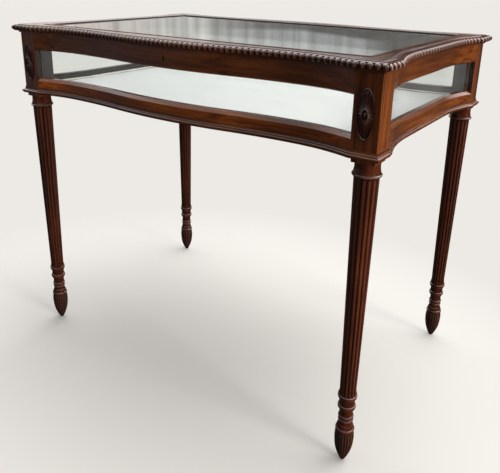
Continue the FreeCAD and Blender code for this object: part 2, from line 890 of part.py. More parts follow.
rosette = patera()
for name, x_sign, y_sign in case_corners():
    x = x_sign * (half_width - block_side / 2)
    z = (block_bottom + leg_height) / 2 + patera_rise
    facing = rosette if y_sign < 0 else turned(rosette, 180)
    put("patera_" + name, moved(facing, x, y_sign * half_depth, z))

lock_room = box(
    -lock_width / 2 - lock_play,
    lock_width / 2 + lock_play,
    lock_front - lock_play,
    lock_back + beyond,
    lock_bottom - lock_play,
    leg_height + 1,
)
floor_screws = [floor_screw(spot.x, spot.y) for spot in floor_screw_places()]
screw_holes = Part.makeCompound(floor_screws)

for name, side, degrees in SIDES:
    upper = turned(rail(side, upper_rail_section(), opening_top, leg_height), degrees)
    if name == "front":
        rail_front = -half_depth - bow_proud
        upper = upper.cut(lock_room).cut(keyhole(0, rail_front - 1, lock_front + 1))
        upper = upper.cut(keyhole(escutcheon_wall, rail_front - 1, rail_front + escutcheon_depth))
    if name == "back":
        for hinge_name, x in HINGES:
            recess = leaf_recess(x, leg_height - hinge_leaf_thickness, leg_height + 1)
            upper = upper.cut(recess).cut(knuckle_room(x))
            for sx, sy in hinge_screw_places(x):
                upper = upper.cut(screw(sx, sy, leg_height, -1))
    put("upper_rail_" + name, upper.Solids[0])
    lower = turned(rail(side, lower_rail_section(), floor_top, opening_bottom), degrees).cut(screw_holes)
    put("lower_rail_" + name, lower.Solids[0])
    lengths = [turned(length, degrees) for length in side.lengths(base_moulding_section())]
    put("base_moulding_" + name, Part.makeCompound(lengths))
    put("glass_" + name, turned(pane(side), degrees))
    put("glazing_beads_" + name, Part.makeCompound([turned(bead, degrees) for bead in glazing_beads(side)]))
    put("lid_member_" + name, lid_member(side, degrees))
    put("lid_edge_moulding_" + name, Part.makeCompound(lid_edge(side, degrees)))

board_edge = -rail_thickness + floor_rebate_width - floor_play
put("floor_board", floor_shape(board_edge, block_bottom, floor_top, floor_play).cut(screw_holes).Solids[0])
put("floor_screws", Part.makeCompound(floor_screws))
lining_edge = -rail_thickness - floor_play
put("lining_board", floor_shape(lining_edge, floor_top, lining_board_top, floor_play))
put("floor_lining", floor_shape(lining_edge, lining_board_top, lining_top, floor_play))
borders = [turned(lining_border(side), degrees) for name, side, degrees in SIDES]
put("lining_border", Part.makeCompound(borders))

put("lock_case", lock_case())
put("lock_bolt", lock_bolt())
put("keyhole_escutcheon", escutcheon())
put("link_plate", link_plate())
put("link_plate_screws", Part.makeCompound([screw(x, y, lid_bottom, 1) for x, y in link_screw_places()]))

for name, x in HINGES:
    put("hinge_case_leaf_" + name, hinge_leaf(x, leg_height - hinge_leaf_thickness, leg_height, (0, 2)))
    put("hinge_lid_leaf_" + name, hinge_leaf(x, lid_bottom, lid_bottom + hinge_leaf_thickness, (1,)))
    put("hinge_pin_" + name, hinge_pin(x))
case_screws = [screw(sx, sy, leg_height, -1) for name, x in HINGES for sx, sy in hinge_screw_places(x)]
lid_screws = [screw(sx, sy, lid_bottom, 1) for name, x in HINGES for sx, sy in hinge_screw_places(x)]
put("hinge_case_screws", Part.makeCompound(case_screws))
put("hinge_lid_screws", Part.makeCompound(lid_screws))

put("lid_glass", lid_glass())
beads = [turned(glass_bead(side), degrees) for name, side, degrees in SIDES]
put("lid_glass_beads", Part.makeCompound(beads))
put("lid_corner_tongues", Part.makeCompound(tongues(0)))
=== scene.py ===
import bpy
import math
import numpy as np
from mathutils import Matrix


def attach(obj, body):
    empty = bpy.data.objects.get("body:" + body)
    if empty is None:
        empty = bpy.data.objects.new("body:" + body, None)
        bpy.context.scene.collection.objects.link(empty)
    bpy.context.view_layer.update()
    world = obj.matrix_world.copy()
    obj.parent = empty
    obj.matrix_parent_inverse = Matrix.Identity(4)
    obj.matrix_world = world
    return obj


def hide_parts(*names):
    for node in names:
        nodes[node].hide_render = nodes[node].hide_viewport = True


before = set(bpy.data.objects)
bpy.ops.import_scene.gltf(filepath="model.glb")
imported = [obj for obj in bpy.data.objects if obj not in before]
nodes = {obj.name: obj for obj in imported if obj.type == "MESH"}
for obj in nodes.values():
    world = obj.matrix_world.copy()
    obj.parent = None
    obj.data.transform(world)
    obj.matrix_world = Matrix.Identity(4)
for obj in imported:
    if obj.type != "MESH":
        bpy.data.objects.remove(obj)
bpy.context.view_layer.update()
mm = 0.001  # lengths below are in millimetres, meshes are in metres
print("frame loaded:", len(nodes), "nodes")

camera = {
    "place": (0.76866, -1.10292, 0.87907),
    "right": (0.81895, 0.57355, 0.01902),
    "up": (-0.19729, 0.25027, 0.94786),
    "back": (0.53889, -0.78001, 0.31811),
    "focalPixels": 589.12,
    "frameWidth": 500.0,
    "frameHeight": 473.0,
    "axisX": 248.58,  # where the optical axis meets the frame
    "axisY": 170.47,
}


def addObject(name, data):
    obj = bpy.data.objects.new(name, data)
    bpy.context.scene.collection.objects.link(obj)
    return obj


def setFrame(obj, place, right, up, back):
    # cameras and lamps look against back, with right and up across their view
    obj.matrix_world = Matrix.Translation(place) @ Matrix([right, up, back]).transposed().to_4x4()


def makeCamera(c):
    # pin-hole camera; the shift moves the frame off the optical axis by a share of its width
    data = bpy.data.cameras.new("camera")
    data.sensor_width = 36.0
    data.lens = data.sensor_width * c["focalPixels"] / c["frameWidth"]
    data.shift_x = (c["frameWidth"] / 2 - c["axisX"]) / c["frameWidth"]
    data.shift_y = (c["axisY"] - c["frameHeight"] / 2) / c["frameWidth"]
    data.clip_start, data.clip_end = 0.01, 100.0
    obj = addObject("camera", data)
    setFrame(obj, c["place"], c["right"], c["up"], c["back"])
    bpy.context.scene.camera = obj


makeCamera(camera)
print("camera set")


# Materials

def feed(tree, node, inputs):
    for key, value in inputs.items():
        if isinstance(value, bpy.types.NodeSocket):
            tree.links.new(value, node.inputs[key])
        elif node.inputs[key].type == "RGBA":
            node.inputs[key].default_value = (*value, 1.0)
        else:
            node.inputs[key].default_value = value


def addNode(tree, kind, inputs=None, **properties):
    made = tree.nodes.new(kind)
    for key, value in properties.items():
        setattr(made, key, value)
    feed(tree, made, inputs or {})
    return made


def ramp(tree, value, stops):
    made = addNode(tree, "ShaderNodeValToRGB", {"Fac": value})
    elements = made.color_ramp.elements
    while len(elements) < len(stops):
        elements.new(0.5)
    for element, (place, colour) in zip(elements, stops):
        element.position = place
        element.color = (*colour, 1.0)
    return made.outputs["Color"]


def spread(tree, value, fromLow, fromHigh, toLow=0.0, toHigh=1.0):
    made = addNode(tree, "ShaderNodeMapRange", {
        "Value": value, "From Min": fromLow, "From Max": fromHigh, "To Min": toLow, "To Max": toHigh})
    return made.outputs["Result"]


def blendColours(tree, factor, first, second, mode="MIX"):
    made = addNode(tree, "ShaderNodeMix", {0: factor, 6: first, 7: second}, data_type="RGBA", blend_type=mode)
    return made.outputs[2]


def newMaterial(name):
    material = bpy.data.materials.new(name)
    material.use_nodes = True
    tree = material.node_tree
    tree.nodes.clear()
    shader = addNode(tree, "ShaderNodeBsdfPrincipled")
    output = addNode(tree, "ShaderNodeOutputMaterial", {"Surface": shader.outputs["BSDF"]})
    return material, tree, shader, output


def tinted(tree, colour, tint):
    return blendColours(tree, 1.0, colour, tint, "MULTIPLY")


def reckon(tree, operation, first, second):
    return addNode(tree, "ShaderNodeMath", {0: first, 1: second}, operation=operation).outputs[0]


def mixShaders(tree, share, first, second):
    return addNode(tree, "ShaderNodeMixShader", {0: share, 1: first, 2: second}).outputs[0]


def axesOf(tree, space="Object"):
    where = addNode(tree, "ShaderNodeTexCoord").outputs[space]
    return addNode(tree, "ShaderNodeSeparateXYZ", {"Vector": where}).outputs


def placed(tree, scale):
    where = addNode(tree, "ShaderNodeTexCoord").outputs["Object"]
    return addNode(tree, "ShaderNodeMapping", {"Vector": where, "Scale": scale}).outputs["Vector"]


def noise(tree, stretch, scale, detail, roughness=0.5, distortion=0.0):
    return addNode(tree, "ShaderNodeTexNoise", {
        "Vector": placed(tree, stretch), "Scale": scale, "Detail": detail, "Roughness": roughness,
        "Distortion": distortion}).outputs["Fac"]


def addBump(tree, shader, height, strength, distance, invert=False):
    bump = addNode(tree, "ShaderNodeBump", {
        "Height": height, "Strength": strength, "Distance": distance}, invert=invert)
    feed(tree, shader, {"Normal": bump.outputs["Normal"]})


same = (1.0, 1.0, 1.0)  # a pattern that isn't drawn out, a tint that changes nothing

mahogany = {
    "dark": (0.062, 0.0145, 0.0042),
    "middle": (0.185, 0.0470, 0.0085),
    "light": (0.330, 0.0980, 0.0165),
    "figureStops": (0.30, 0.50, 0.72),  # values of the figure that are dark, middle and light
    "figureAlong": 5.0,  # streaks per metre along the grain and across it
    "figureAcross": 95.0,
    "poresAlong": 130.0,
    "poresAcross": 1900.0,
    "poreStops": (0.56, 0.70),  # values of the pores where they begin and where they are full
    "poreDark": 0.55,
    "poreDepth": 0.00012,
    "cloud": 4.5,
    "cloudStops": (0.28, 0.70),
    "cloudDark": (0.62, 0.58, 0.56),  # tints of the darkest and the palest patches
    "cloudPale": (1.10, 1.10, 1.12),
    "roughLow": 0.16,
    "roughHigh": 0.30,
    "coat": 0.5,
    "coatRoughness": 0.06,
    "groove": (0.008, 0.003, 0.002),  # old polish left in the pores; in the hollows of carving it is painted shade
    "paintedShadeFrom": 0.75,  # relief where the painted shade starts and where it is full
    "paintedShadeTo": 0.05,
    "paintedShadeDark": 0.92,
    "paintedHighlight": (0.46, 0.31, 0.27),  # painted highlight: crests paler where the relief is over 1
    "paintedLeftShade": (0.72, 0.78, 0.98),  # painted shade: tint of the left end, darker and cooler, standing in for the cooler light there
    "leftShadeFrom": -0.45,
    "leftShadeTo": 0.20,
    "inside": (0.09, 0.10, 0.12),  # tint that makes the unpolished faces that look into the case darker
    "insideFrom": 0.606,  # metres above the floor
    "insideTurn": (0.12, 0.35),  # how far a face looks inwards where that starts and where it is full
    "mattRough": 0.7,  # of those faces and of the hollows
}


def facingIn(tree, w):
    # how far a face looks back towards the upright line through the middle; nothing below the case counts
    source = addNode(tree, "ShaderNodeTexCoord")
    where, normal = source.outputs["Object"], source.outputs["Normal"]
    flat = addNode(tree, "ShaderNodeVectorMath", {0: where, 1: (-1.0, -1.0, 0.0)}, operation="MULTIPLY")
    aimed = addNode(tree, "ShaderNodeVectorMath", {0: flat.outputs[0]}, operation="NORMALIZE")
    turned = addNode(tree, "ShaderNodeVectorMath", {0: aimed.outputs[0], 1: normal}, operation="DOT_PRODUCT")
    inward = spread(tree, turned.outputs["Value"], *w["insideTurn"])
    return reckon(tree, "MULTIPLY", inward, reckon(tree, "GREATER_THAN", axesOf(tree)["Z"], w["insideFrom"]))


def woodMaterial(name, axis, w, tint=same, carved=False):
    # figure is a noise drawn out along the grain, pores are a finer one, cloud changes the tone over a piece
    material, tree, shader = newMaterial(name)[:3]
    figureScale = [w["figureAcross"]] * 3
    poreScale = [w["poresAcross"]] * 3
    figureScale[axis] = w["figureAlong"]
    poreScale[axis] = w["poresAlong"]
    figure = noise(tree, figureScale, 1.0, 5.0, 0.62, 0.6)
    pores = noise(tree, poreScale, 1.0, 2.0)
    cloud = noise(tree, same, w["cloud"], 3.0, 0.55)
    colour = ramp(tree, figure, list(zip(w["figureStops"], (w["dark"], w["middle"], w["light"]))))
    clouds = ramp(tree, cloud, list(zip(w["cloudStops"], (w["cloudDark"], w["cloudPale"]))))
    colour = tinted(tree, colour, clouds)
    pore = spread(tree, pores, *w["poreStops"], 0.0, w["poreDark"])
    colour = blendColours(tree, pore, colour, w["groove"])
    colour = tinted(tree, colour, tint)
    paintedLeftShade = spread(tree, axesOf(tree)["X"], w["leftShadeFrom"], w["leftShadeTo"], 1.0, 0.0)
    colour = blendColours(tree, paintedLeftShade, colour, tinted(tree, colour, w["paintedLeftShade"]))
    if carved:
        # carved pieces: painted shade in hollows and valleys where relief is low, painted highlight on crests
        # where it is over 1
        relief = addNode(tree, "ShaderNodeAttribute", attribute_name="relief").outputs["Fac"]
        matt = spread(tree, relief, w["paintedShadeFrom"], w["paintedShadeTo"], 0.0, w["paintedShadeDark"])
        colour = blendColours(tree, matt, colour, w["groove"])
        colour = blendColours(tree, spread(tree, relief, 1.0, 2.0), colour, w["paintedHighlight"])
    else:
        matt = facingIn(tree, w)
        colour = blendColours(tree, matt, colour, tinted(tree, colour, w["inside"]))
    rough = spread(tree, cloud, 0.3, 0.7, w["roughLow"], w["roughHigh"])
    rough = addNode(tree, "ShaderNodeMix", {0: matt, 2: rough, 3: w["mattRough"]}).outputs[0]
    addBump(tree, shader, pores, 0.35, w["poreDepth"], invert=True)
    feed(tree, shader, {"Base Color": colour, "Roughness": rough, "Coat Weight": w["coat"],
                        "Coat Roughness": w["coatRoughness"]})
    return material


def grained(name, axes, look, tint, carved=False):
    # the same wood with its grain along each of the axes
    return [woodMaterial(name + "_along_" + axis, "xyz".index(axis), look, tint, carved) for axis in axes]


plainWood = dict(mahogany, dark=(0.14, 0.070, 0.030), middle=(0.25, 0.135, 0.062), light=(0.36, 0.21, 0.105),
                 coat=0.0, roughLow=0.55, roughHigh=0.75)

glassLook = {
    "colour": (0.985, 0.992, 0.99),
    "shade": (0.968, 0.978, 0.975),  # what is left of the light that falls through it
    "ior": 1.3,
    "film": (0.50, 0.55, 0.52),  # a diffuse film in streaks: dust on the glass, and painted reflection of the room
    "filmLow": 0.0,
    "filmHigh": 0.02,
    "streaks": (3.0, 3.0, 60.0),
    "streakStops": (0.35, 0.7),
    "roughness": 0.02,
}


def glassMaterial(name, g):
    # clear slab with a thin streaky film of dust and painted reflection; shadow rays pass through it, so what
    # lies inside is lit
    material, tree, shader, output = newMaterial(name)
    feed(tree, shader, {"Base Color": g["colour"], "Roughness": g["roughness"], "Transmission Weight": 1.0,
                        "IOR": g["ior"]})
    streaks = noise(tree, g["streaks"], 1.0, 4.0, 0.6)
    film = addNode(tree, "ShaderNodeBsdfDiffuse", {"Color": g["film"]})
    amount = spread(tree, streaks, *g["streakStops"], g["filmLow"], g["filmHigh"])
    dusty = mixShaders(tree, amount, shader.outputs["BSDF"], film.outputs["BSDF"])
    clear = addNode(tree, "ShaderNodeBsdfTransparent", {"Color": g["shade"]})
    isShadow = addNode(tree, "ShaderNodeLightPath").outputs["Is Shadow Ray"]
    feed(tree, output, {"Surface": mixShaders(tree, isShadow, dusty, clear.outputs["BSDF"])})
    return material


silk = {
    "colour": (0.955, 0.965, 0.985),
    "shade": (0.915, 0.93, 0.95),
    "threads": 75.0,  # scale of the weave, about 240 threads to the metre
    "weaveShade": 0.86,
    "weaveDepth": 0.00010,
    "figure": 25.0,
    "figureStops": (0.35, 0.62),
    "roughness": 0.62,
    "sheen": 0.25,
}


def clothMaterial(name, s):
    # two crossed wave patterns make the threads; a slow noise makes the woven figure and the soft staining
    material, tree, shader = newMaterial(name)[:3]
    waves = [addNode(tree, "ShaderNodeTexWave", {
        "Vector": placed(tree, same), "Scale": s["threads"], "Distortion": 1.5, "Detail": 1.0},
        bands_direction=way).outputs["Fac"] for way in "XY"]
    weave = reckon(tree, "MULTIPLY", *waves)
    figure = noise(tree, same, s["figure"], 4.0, 0.7)
    colour = ramp(tree, figure, list(zip(s["figureStops"], (s["shade"], s["colour"]))))
    colour = tinted(tree, colour, spread(tree, weave, 0.0, 1.0, s["weaveShade"], 1.0))
    feed(tree, shader, {"Base Color": colour, "Roughness": s["roughness"], "Sheen Weight": s["sheen"]})
    addBump(tree, shader, weave, 0.5, s["weaveDepth"])
    return material


brassLook = {
    "clean": (0.55, 0.36, 0.13),
    "dull": (0.16, 0.095, 0.040),
    "patches": 140.0,
    "patchStops": (0.38, 0.62),
    "scratches": (60.0, 4000.0, 4000.0),
    "roughLow": 0.26,
    "roughHigh": 0.46,
}
steelLook = dict(brassLook, clean=(0.34, 0.33, 0.31), dull=(0.12, 0.11, 0.10), roughLow=0.34, roughHigh=0.54)


def metalMaterial(name, m):
    # tarnish lies in slow patches over a finely scratched ground
    material, tree, shader = newMaterial(name)[:3]
    patches = noise(tree, same, m["patches"], 5.0, 0.65)
    scratches = noise(tree, m["scratches"], 1.0, 2.0)
    colour = ramp(tree, patches, list(zip(m["patchStops"], (m["dull"], m["clean"]))))
    rough = spread(tree, scratches, 0.3, 0.7, m["roughLow"], m["roughHigh"])
    feed(tree, shader, {"Base Color": colour, "Roughness": rough, "Metallic": 1.0})
    addBump(tree, shader, scratches, 0.2, 0.00005)
    return material


railTint = (0.95, 0.95, 0.95)
lowerLitTint = (1.78, 1.68, 1.45)  # painted light: the long lower rails are paler than the rest, as if lit from the front and below
lidTint = (0.60, 0.62, 0.90)
edgeTint = (0.45, 0.42, 0.60)
legTint = (0.47, 0.37, 0.60)
pateraTint = (0.27, 0.21, 0.40)
# the glazing beads are tinted darker and bluer than the rest
beadTint = (0.30, 0.30, 0.36)
lowerLook = dict(mahogany, paintedLeftShade=(0.95, 0.93, 1.0))
edgeLook = dict(mahogany, coat=0.25, roughLow=0.13, roughHigh=0.22)
pateraLook = dict(mahogany, coat=0.7, coatRoughness=0.20, roughLow=0.26, roughHigh=0.38)
farGlassLook = dict(glassLook, colour=(0.85, 0.88, 0.865), filmHigh=0.06)
# painted shade: the lid glass's colour darkens what is seen through it, while its shade lets the lamps' light
# through almost clear
lidGlassLook = dict(glassLook, ior=1.45, colour=(0.74, 0.77, 0.765), shade=(0.90, 0.93, 0.92), filmHigh=0.05,
                    streaks=(60.0, 4.0, 1.0))
borderLook = dict(silk, colour=(0.86, 0.86, 0.82), shade=(0.72, 0.72, 0.68))
woodAlong = grained("mahogany", "xyz", mahogany, railTint)
lidWood = grained("lid_mahogany", "xy", mahogany, lidTint)
edgeWood = grained("carved_edge", "xy", edgeLook, edgeTint, carved=True)
baseWood = grained("base_mahogany", "xy", mahogany, railTint, carved=True)
stepWood = grained("step_mahogany", "xy", mahogany, lidTint, carved=True)
lowerWood = woodMaterial("lower_mahogany_along_x", 0, lowerLook, lowerLitTint)
legWood = woodMaterial("turned_mahogany", 2, mahogany, legTint, carved=True)
pateraWood = woodMaterial("carved_mahogany", 2, pateraLook, pateraTint, carved=True)
beadWood = woodMaterial("darkened_bead_mahogany", 0, mahogany, beadTint)
boardWood = woodMaterial("plain_wood", 0, plainWood)
paneGlass = glassMaterial("pane_glass", glassLook)
farGlass = glassMaterial("far_pane_glass", farGlassLook)
lidGlass = glassMaterial("lid_glass", lidGlassLook)
liningSilk = clothMaterial("lining_silk", silk)
borderSilk = clothMaterial("border_silk", borderLook)
brass = metalMaterial("aged_brass", brassLook)
steel = metalMaterial("dull_steel", steelLook)
print("materials made")


sideGrain = {"front": 0, "back": 0, "left": 1, "right": 1}
# the first line that a node's name starts with gives its finish; the rest is polished wood along its side
finishes = {
    ("glass_front", "glass_right"): paneGlass,
    ("glass_",): farGlass,
    ("lid_glass_beads", "lid_member_front", "lid_member_back"): lidWood[0],
    ("lid_member_",): lidWood[1],
    ("lid_glass",): lidGlass,
    ("floor_board", "lining_board", "lid_corner_tongues"): boardWood,
    ("lower_rail_front", "lower_rail_back"): lowerWood,
    ("glazing_beads_",): beadWood,
    ("floor_screws",): steel,
    ("floor_lining",): liningSilk,
    ("lining_border",): borderSilk,
    ("hinge_", "lock_", "link_", "keyhole_"): brass,
    ("leg_", "patera_"): woodAlong[2],
}
for name in nodes:
    found = [material for starts, material in finishes.items() if name.startswith(starts)]
    slots = nodes[name].data.materials
    slots.clear()
    slots.append(found[0] if found else woodAlong[sideGrain[name.rsplit("_", 1)[-1]]])


# Surfaces: a skin is points (x, y, z, relief) in millimetres, four-cornered faces and end caps

def gridSkin(grid):
    # rows run along the path and columns round the section, which is closed; neighbours are joined in fours
    rows, columns = grid.shape[:2]
    i, j = np.meshgrid(np.arange(rows - 1), np.arange(columns), indexing="ij")
    here, beside = i * columns + j, i * columns + (j + 1) % columns
    quads = np.stack([here, beside, beside + columns, here + columns], -1)
    caps = [np.arange(columns)[::-1], (rows - 1) * columns + np.arange(columns)]
    return outwards(grid.reshape(-1, 4), quads.reshape(-1, 4), caps)


def outwards(points, quads, caps):
    # the signed volume, a sum of triple products over the faces, tells whether they look outwards
    p = points[:, :3]
    a, b, c, d = (p[quads[:, k]] for k in range(4))
    volume = np.einsum("ij,ij->", a, np.cross(b, c)) + np.einsum("ij,ij->", a, np.cross(c, d))
    for cap in caps:
        q = p[cap]
        volume += np.einsum("j,ij->", q[0], np.cross(q[1:-1], q[2:]))
    if volume < 0:
        quads = quads[:, ::-1]
        caps = [cap[::-1] for cap in caps]
    return points, quads, caps


def makePiece(name, skins, material, body, replaced=(), smoothAngle=35.0, bevel=None):
    points, faces, start = [], [], 0
    for p, quads, caps in skins:
        points.append(p)
        faces += (quads + start).tolist() + [(cap + start).tolist() for cap in caps]
        start += len(p)
    points = np.concatenate(points)
    mesh = bpy.data.meshes.new(name)
    mesh.from_pydata((points[:, :3] * mm).tolist(), [], faces)
    mesh.polygons.foreach_set("use_smooth", np.ones(len(faces), bool))
    # relief is read by the carved materials: painted shade where it is low, painted highlight where it is
    # over 1
    mesh.attributes.new("relief", "FLOAT", "POINT").data.foreach_set("value", points[:, 3].astype(np.float32))
    mesh.materials.append(material)
    mesh.update()
    mesh.set_sharp_from_angle(angle=math.radians(smoothAngle))
    obj = addObject(name, mesh)
    if bevel:
        rounding = obj.modifiers.new("rounding", "BEVEL")
        rounding.width = bevel * mm
        rounding.segments = 3
        rounding.limit_method = "ANGLE"
        rounding.angle_limit = math.radians(50)
        rounding.harden_normals = True
    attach(obj, body)
    if replaced:
        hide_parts(*replaced)
    return obj


def dome(x):
    # half an ellipse over x from -1 to 1
    return np.sqrt(np.clip(1 - x ** 2, 0, 1))


def turnedRound(grid, degrees):
    a = math.radians(degrees)
    x, y = grid[..., 0], grid[..., 1]
    out = grid.copy()
    out[..., 0] = x * math.cos(a) - y * math.sin(a)
    out[..., 1] = x * math.sin(a) + y * math.cos(a)
    return out


# Plan of the sides: a straight edge on each block, a tight hollow beside it, then a bow or a straight run

case = {"halfX": 437.5, "halfY": 278.0, "block": 46.0, "blockBottom": 605.0, "blockTop": 742.0}


def sideShape(face, half, hollow, endRun, proud):
    # an arc's radius is (half its chord squared + its rise squared) / (2 x its rise); the arcs meet tangent
    tight = (endRun ** 2 + hollow ** 2) / (2 * hollow)
    deep = half - case["block"] - endRun
    shape = {"face": face, "half": half, "hollow": hollow, "tight": tight, "deep": deep, "proud": proud}
    if proud is not None:
        shape["bow"] = 2 * math.atan((hollow + proud) / deep)
        shape["wide"] = deep / (2 * math.sin(shape["bow"]))
    return shape


longSide = sideShape(face=case["halfY"], half=case["halfX"], hollow=18.0, endRun=104.5, proud=1.5)
shortSide = sideShape(face=case["halfX"], half=case["halfY"], hollow=21.5, endRun=125.0, proud=None)
sides = [("front", longSide, 0), ("right", shortSide, 90), ("back", longSide, 180), ("left", shortSide, 270)]


def halfLine(side, run, t, out, limit):
    # x and y over half a side, from corner to middle: each arc keeps its centre and its radius changes by out
    tight = side["tight"] - out
    hollowY = side["hollow"] - side["face"]
    if limit is None:
        reach = np.arccos((side["tight"] - side["hollow"] - out) / tight)
    else:
        reach = np.arcsin((limit - side["deep"]) / tight)
    if run == 0:
        kink = side["deep"] + tight * np.sin(reach)
        return (side["half"] + out) * (1 - t) + kink * t, -side["face"] - out + 0 * t
    if run == 1:
        angle = reach * (1 - t)
        return side["deep"] + tight * np.sin(angle), hollowY - side["tight"] + tight * np.cos(angle)
    if side["proud"] is None:
        return side["deep"] * (1 - t) + 0 * out, hollowY - out + 0 * t
    if run == 2:
        angle, radius = side["bow"] * t, side["wide"] - out
        return side["deep"] - radius * np.sin(angle), hollowY - side["wide"] + radius * np.cos(angle)
    angle, radius = side["bow"] * (1 - t), side["wide"] + out
    return radius * np.sin(angle), -side["face"] - side["proud"] + side["wide"] - radius * np.cos(angle)


def sideSweep(side, degrees, counts, section, limit=None):
    # a section carried along the side: section(station) gives its distance outwards, height and relief
    half = []
    for run, count in enumerate(counts):
        if not count:
            continue
        t = np.linspace(0, 1, count + 1)[1 if half else 0:, None]
        out, height, relief = section(t * count)
        x, y = halfLine(side, run, t, out, limit)
        shape = np.broadcast_shapes(x.shape, y.shape, height.shape)
        half.append(np.stack([np.broadcast_to(v, shape) for v in (x, y, height, relief)], -1))
    right = np.concatenate(half)
    left = right[-2::-1] * np.array([-1, 1, 1, 1])
    return turnedRound(np.concatenate([right, left]), degrees)


def steady(profile):
    # the same section at every station
    out, height, relief = np.array(profile, float).T[:, None]
    return lambda station: (out + 0 * station, height + 0 * station, relief)


def arcOf(centre, radius, start, end, count):
    a = np.radians(np.linspace(start, end, count))
    return np.stack([centre[0] + radius * np.cos(a), centre[1] + radius * np.sin(a)], 1)


def plainCounts(side, fine, onBlock):
    return [onBlock, fine, fine, fine] if side["proud"] is not None else [onBlock, fine, fine]


# Base moulding: a bead over a fillet, with a hollow above it that runs out on the rail

base = {
    "bottom": case["blockBottom"],
    "fillet": 1.6,
    "beadOut": 6.9,
    "beadRadius": 2.7,
    "neckOut": 3.1,
    "top": case["blockBottom"] + 14.5,
    "topOut": 0.7,
    "buried": -1.0,  # how far the back of the section lies inside the wood
    "quirk": 0.9,  # the sharp step over the bead
}


def baseProfile(b):
    centre = (b["beadOut"] - b["beadRadius"], b["bottom"] + b["fillet"] + b["beadRadius"])
    bead = arcOf(centre, b["beadRadius"], -80, 88, 9)
    hollowLow = bead[-1][1] + b["quirk"]
    quarter = np.linspace(0, 1, 7) * np.pi / 2
    neck = b["neckOut"] - (b["neckOut"] - b["topOut"]) * np.sin(quarter)
    hollow = np.stack([neck, hollowLow + (b["top"] - hollowLow) * (1 - np.cos(quarter))], 1)
    under = bead[0][0] + 0.2
    start = [(b["buried"], b["bottom"]), (under, b["bottom"]), (under, b["bottom"] + b["fillet"])]
    step = [(b["neckOut"], bead[-1][1] + 0.1)]
    points = np.concatenate([start, bead, step, hollow, [(b["buried"], b["top"])]])
    # relief: painted shade under the bead and in the quirk above it
    relief = np.concatenate([[0.3] * 4, [1.0] * 7, [0.3, 0.0, 0.0, 0.55], [1.0] * 6])
    return np.column_stack([points, relief])


for name, side, degrees in sides:
    grid = sideSweep(side, degrees, plainCounts(side, 28, 4), steady(baseProfile(base)))
    makePiece("base_bead_" + name, [gridSkin(grid)], baseWood[sideGrain[name]], "case",
              ["base_moulding_" + name], smoothAngle=28.0)
print("base mouldings made")

# Gadrooned edge of the lid: half-round ribs set side by side across the moulding

gadroon = {
    "pitch": 11.4,
    "perRib": 12,
    "centre": (6.2, 752.6),  # what the valleys draw back towards
    "depth": 4.4,
    "carveEnds": 0.3,  # nearer 0 keeps the carving deep to both its ends
    "shade": 0.75,  # below 1 the painted shade of the valleys spreads up the ribs
    "paintedHighlight": 0.35,  # painted highlight on the crests
    "tipEnd": 0.97,  # where the round tips end and how long they are, as shares of the way over the lip
    "tipLong": 0.16,
    "inner": 3.0,
    "neck": 9.0,
    "low": 746.0,
    "high": 758.8,
    "lipOut": 15.3,
    "lipHeight": 751.6,
}
endRibs = dict(gadroon, pitch=14.6, shade=0.55, paintedHighlight=0.75)


def edgeProfile(g):
    # from the underside, round the lip and over to the top; then how deep and how wide the carving is there
    neck, low, high = g["neck"], g["low"], g["high"]
    under = [(g["inner"], low), (neck - 0.4, low), (neck + 0.2, low + 0.9), (neck + 1.2, low + 1.1)]
    s = np.concatenate([np.linspace(0, 0.7, 9), np.linspace(0.74, 1, 10)])
    angle = np.radians(-78 + 166 * s)
    out = neck + (g["lipOut"] - neck) * np.cos(angle) ** 0.9 * np.where(s > 0.5, 1.0, 0.93)
    rise = np.where(angle > 0, high - 0.4 - g["lipHeight"], g["lipHeight"] - low - 1.2)
    height = g["lipHeight"] + rise * np.sin(angle)
    carve = np.sin(np.pi * s) ** g["carveEnds"]
    tip = np.clip((g["tipEnd"] - s) / g["tipLong"], 0, 1)
    ribs = np.stack([out, height, carve, dome(1 - tip)], 1)
    over = [(7.4, high - 0.25), (6.6, high), (5.4, high), (4.9, high - 0.9), (g["inner"], high - 0.9)]
    under, over = ([(*point, 0.0, 1.0) for point in plain] for plain in (under, over))
    return np.concatenate([under, ribs, over])


def reedLobe(phase, width):
    # a dome over the middle of the phase, as wide as width says
    return dome((phase - 0.5) / np.maximum(0.5 * width, 1e-4))


def ribbed(g):
    # each rib is half an ellipse across its pitch, so neighbours meet in a sharp valley; its top end is round
    profile = edgeProfile(g)

    def section(station):
        phase = (station / g["perRib"]) % 1.0
        phase = np.where(np.isclose(phase, 1.0), 0.0, phase)
        lobe = reedLobe(phase, profile[None, :, 3])
        carve = profile[None, :, 2]
        sunk = g["depth"] * carve * (1 - lobe)
        away = profile[:, :2] - np.array(g["centre"])
        length = np.linalg.norm(away, axis=1)
        out = profile[None, :, 0] - sunk * away[None, :, 0] / length
        height = profile[None, :, 1] - sunk * away[None, :, 1] / length
        # relief: painted shade in the valleys, painted highlight on the crests
        crestHighlight = g["paintedHighlight"] * lobe ** 8 * carve ** 4
        return out, height, 1 - np.minimum(1.4 * carve, 1) * (1 - lobe) ** g["shade"] + crestHighlight
    return section


def ribCounts(side, g):
    # whole ribs in each stretch of the outline, so that a valley stands on every mitre
    out = np.array([[g["lipOut"] - 2]])
    counts = []
    for run in range(4 if side["proud"] is not None else 3):
        x, y = halfLine(side, run, np.linspace(0, 1, 30)[:, None], out, None)
        length = np.hypot(np.diff(x[:, 0]), np.diff(y[:, 0])).sum()
        counts.append(max(1, round(length / g["pitch"])) * g["perRib"])
    return counts


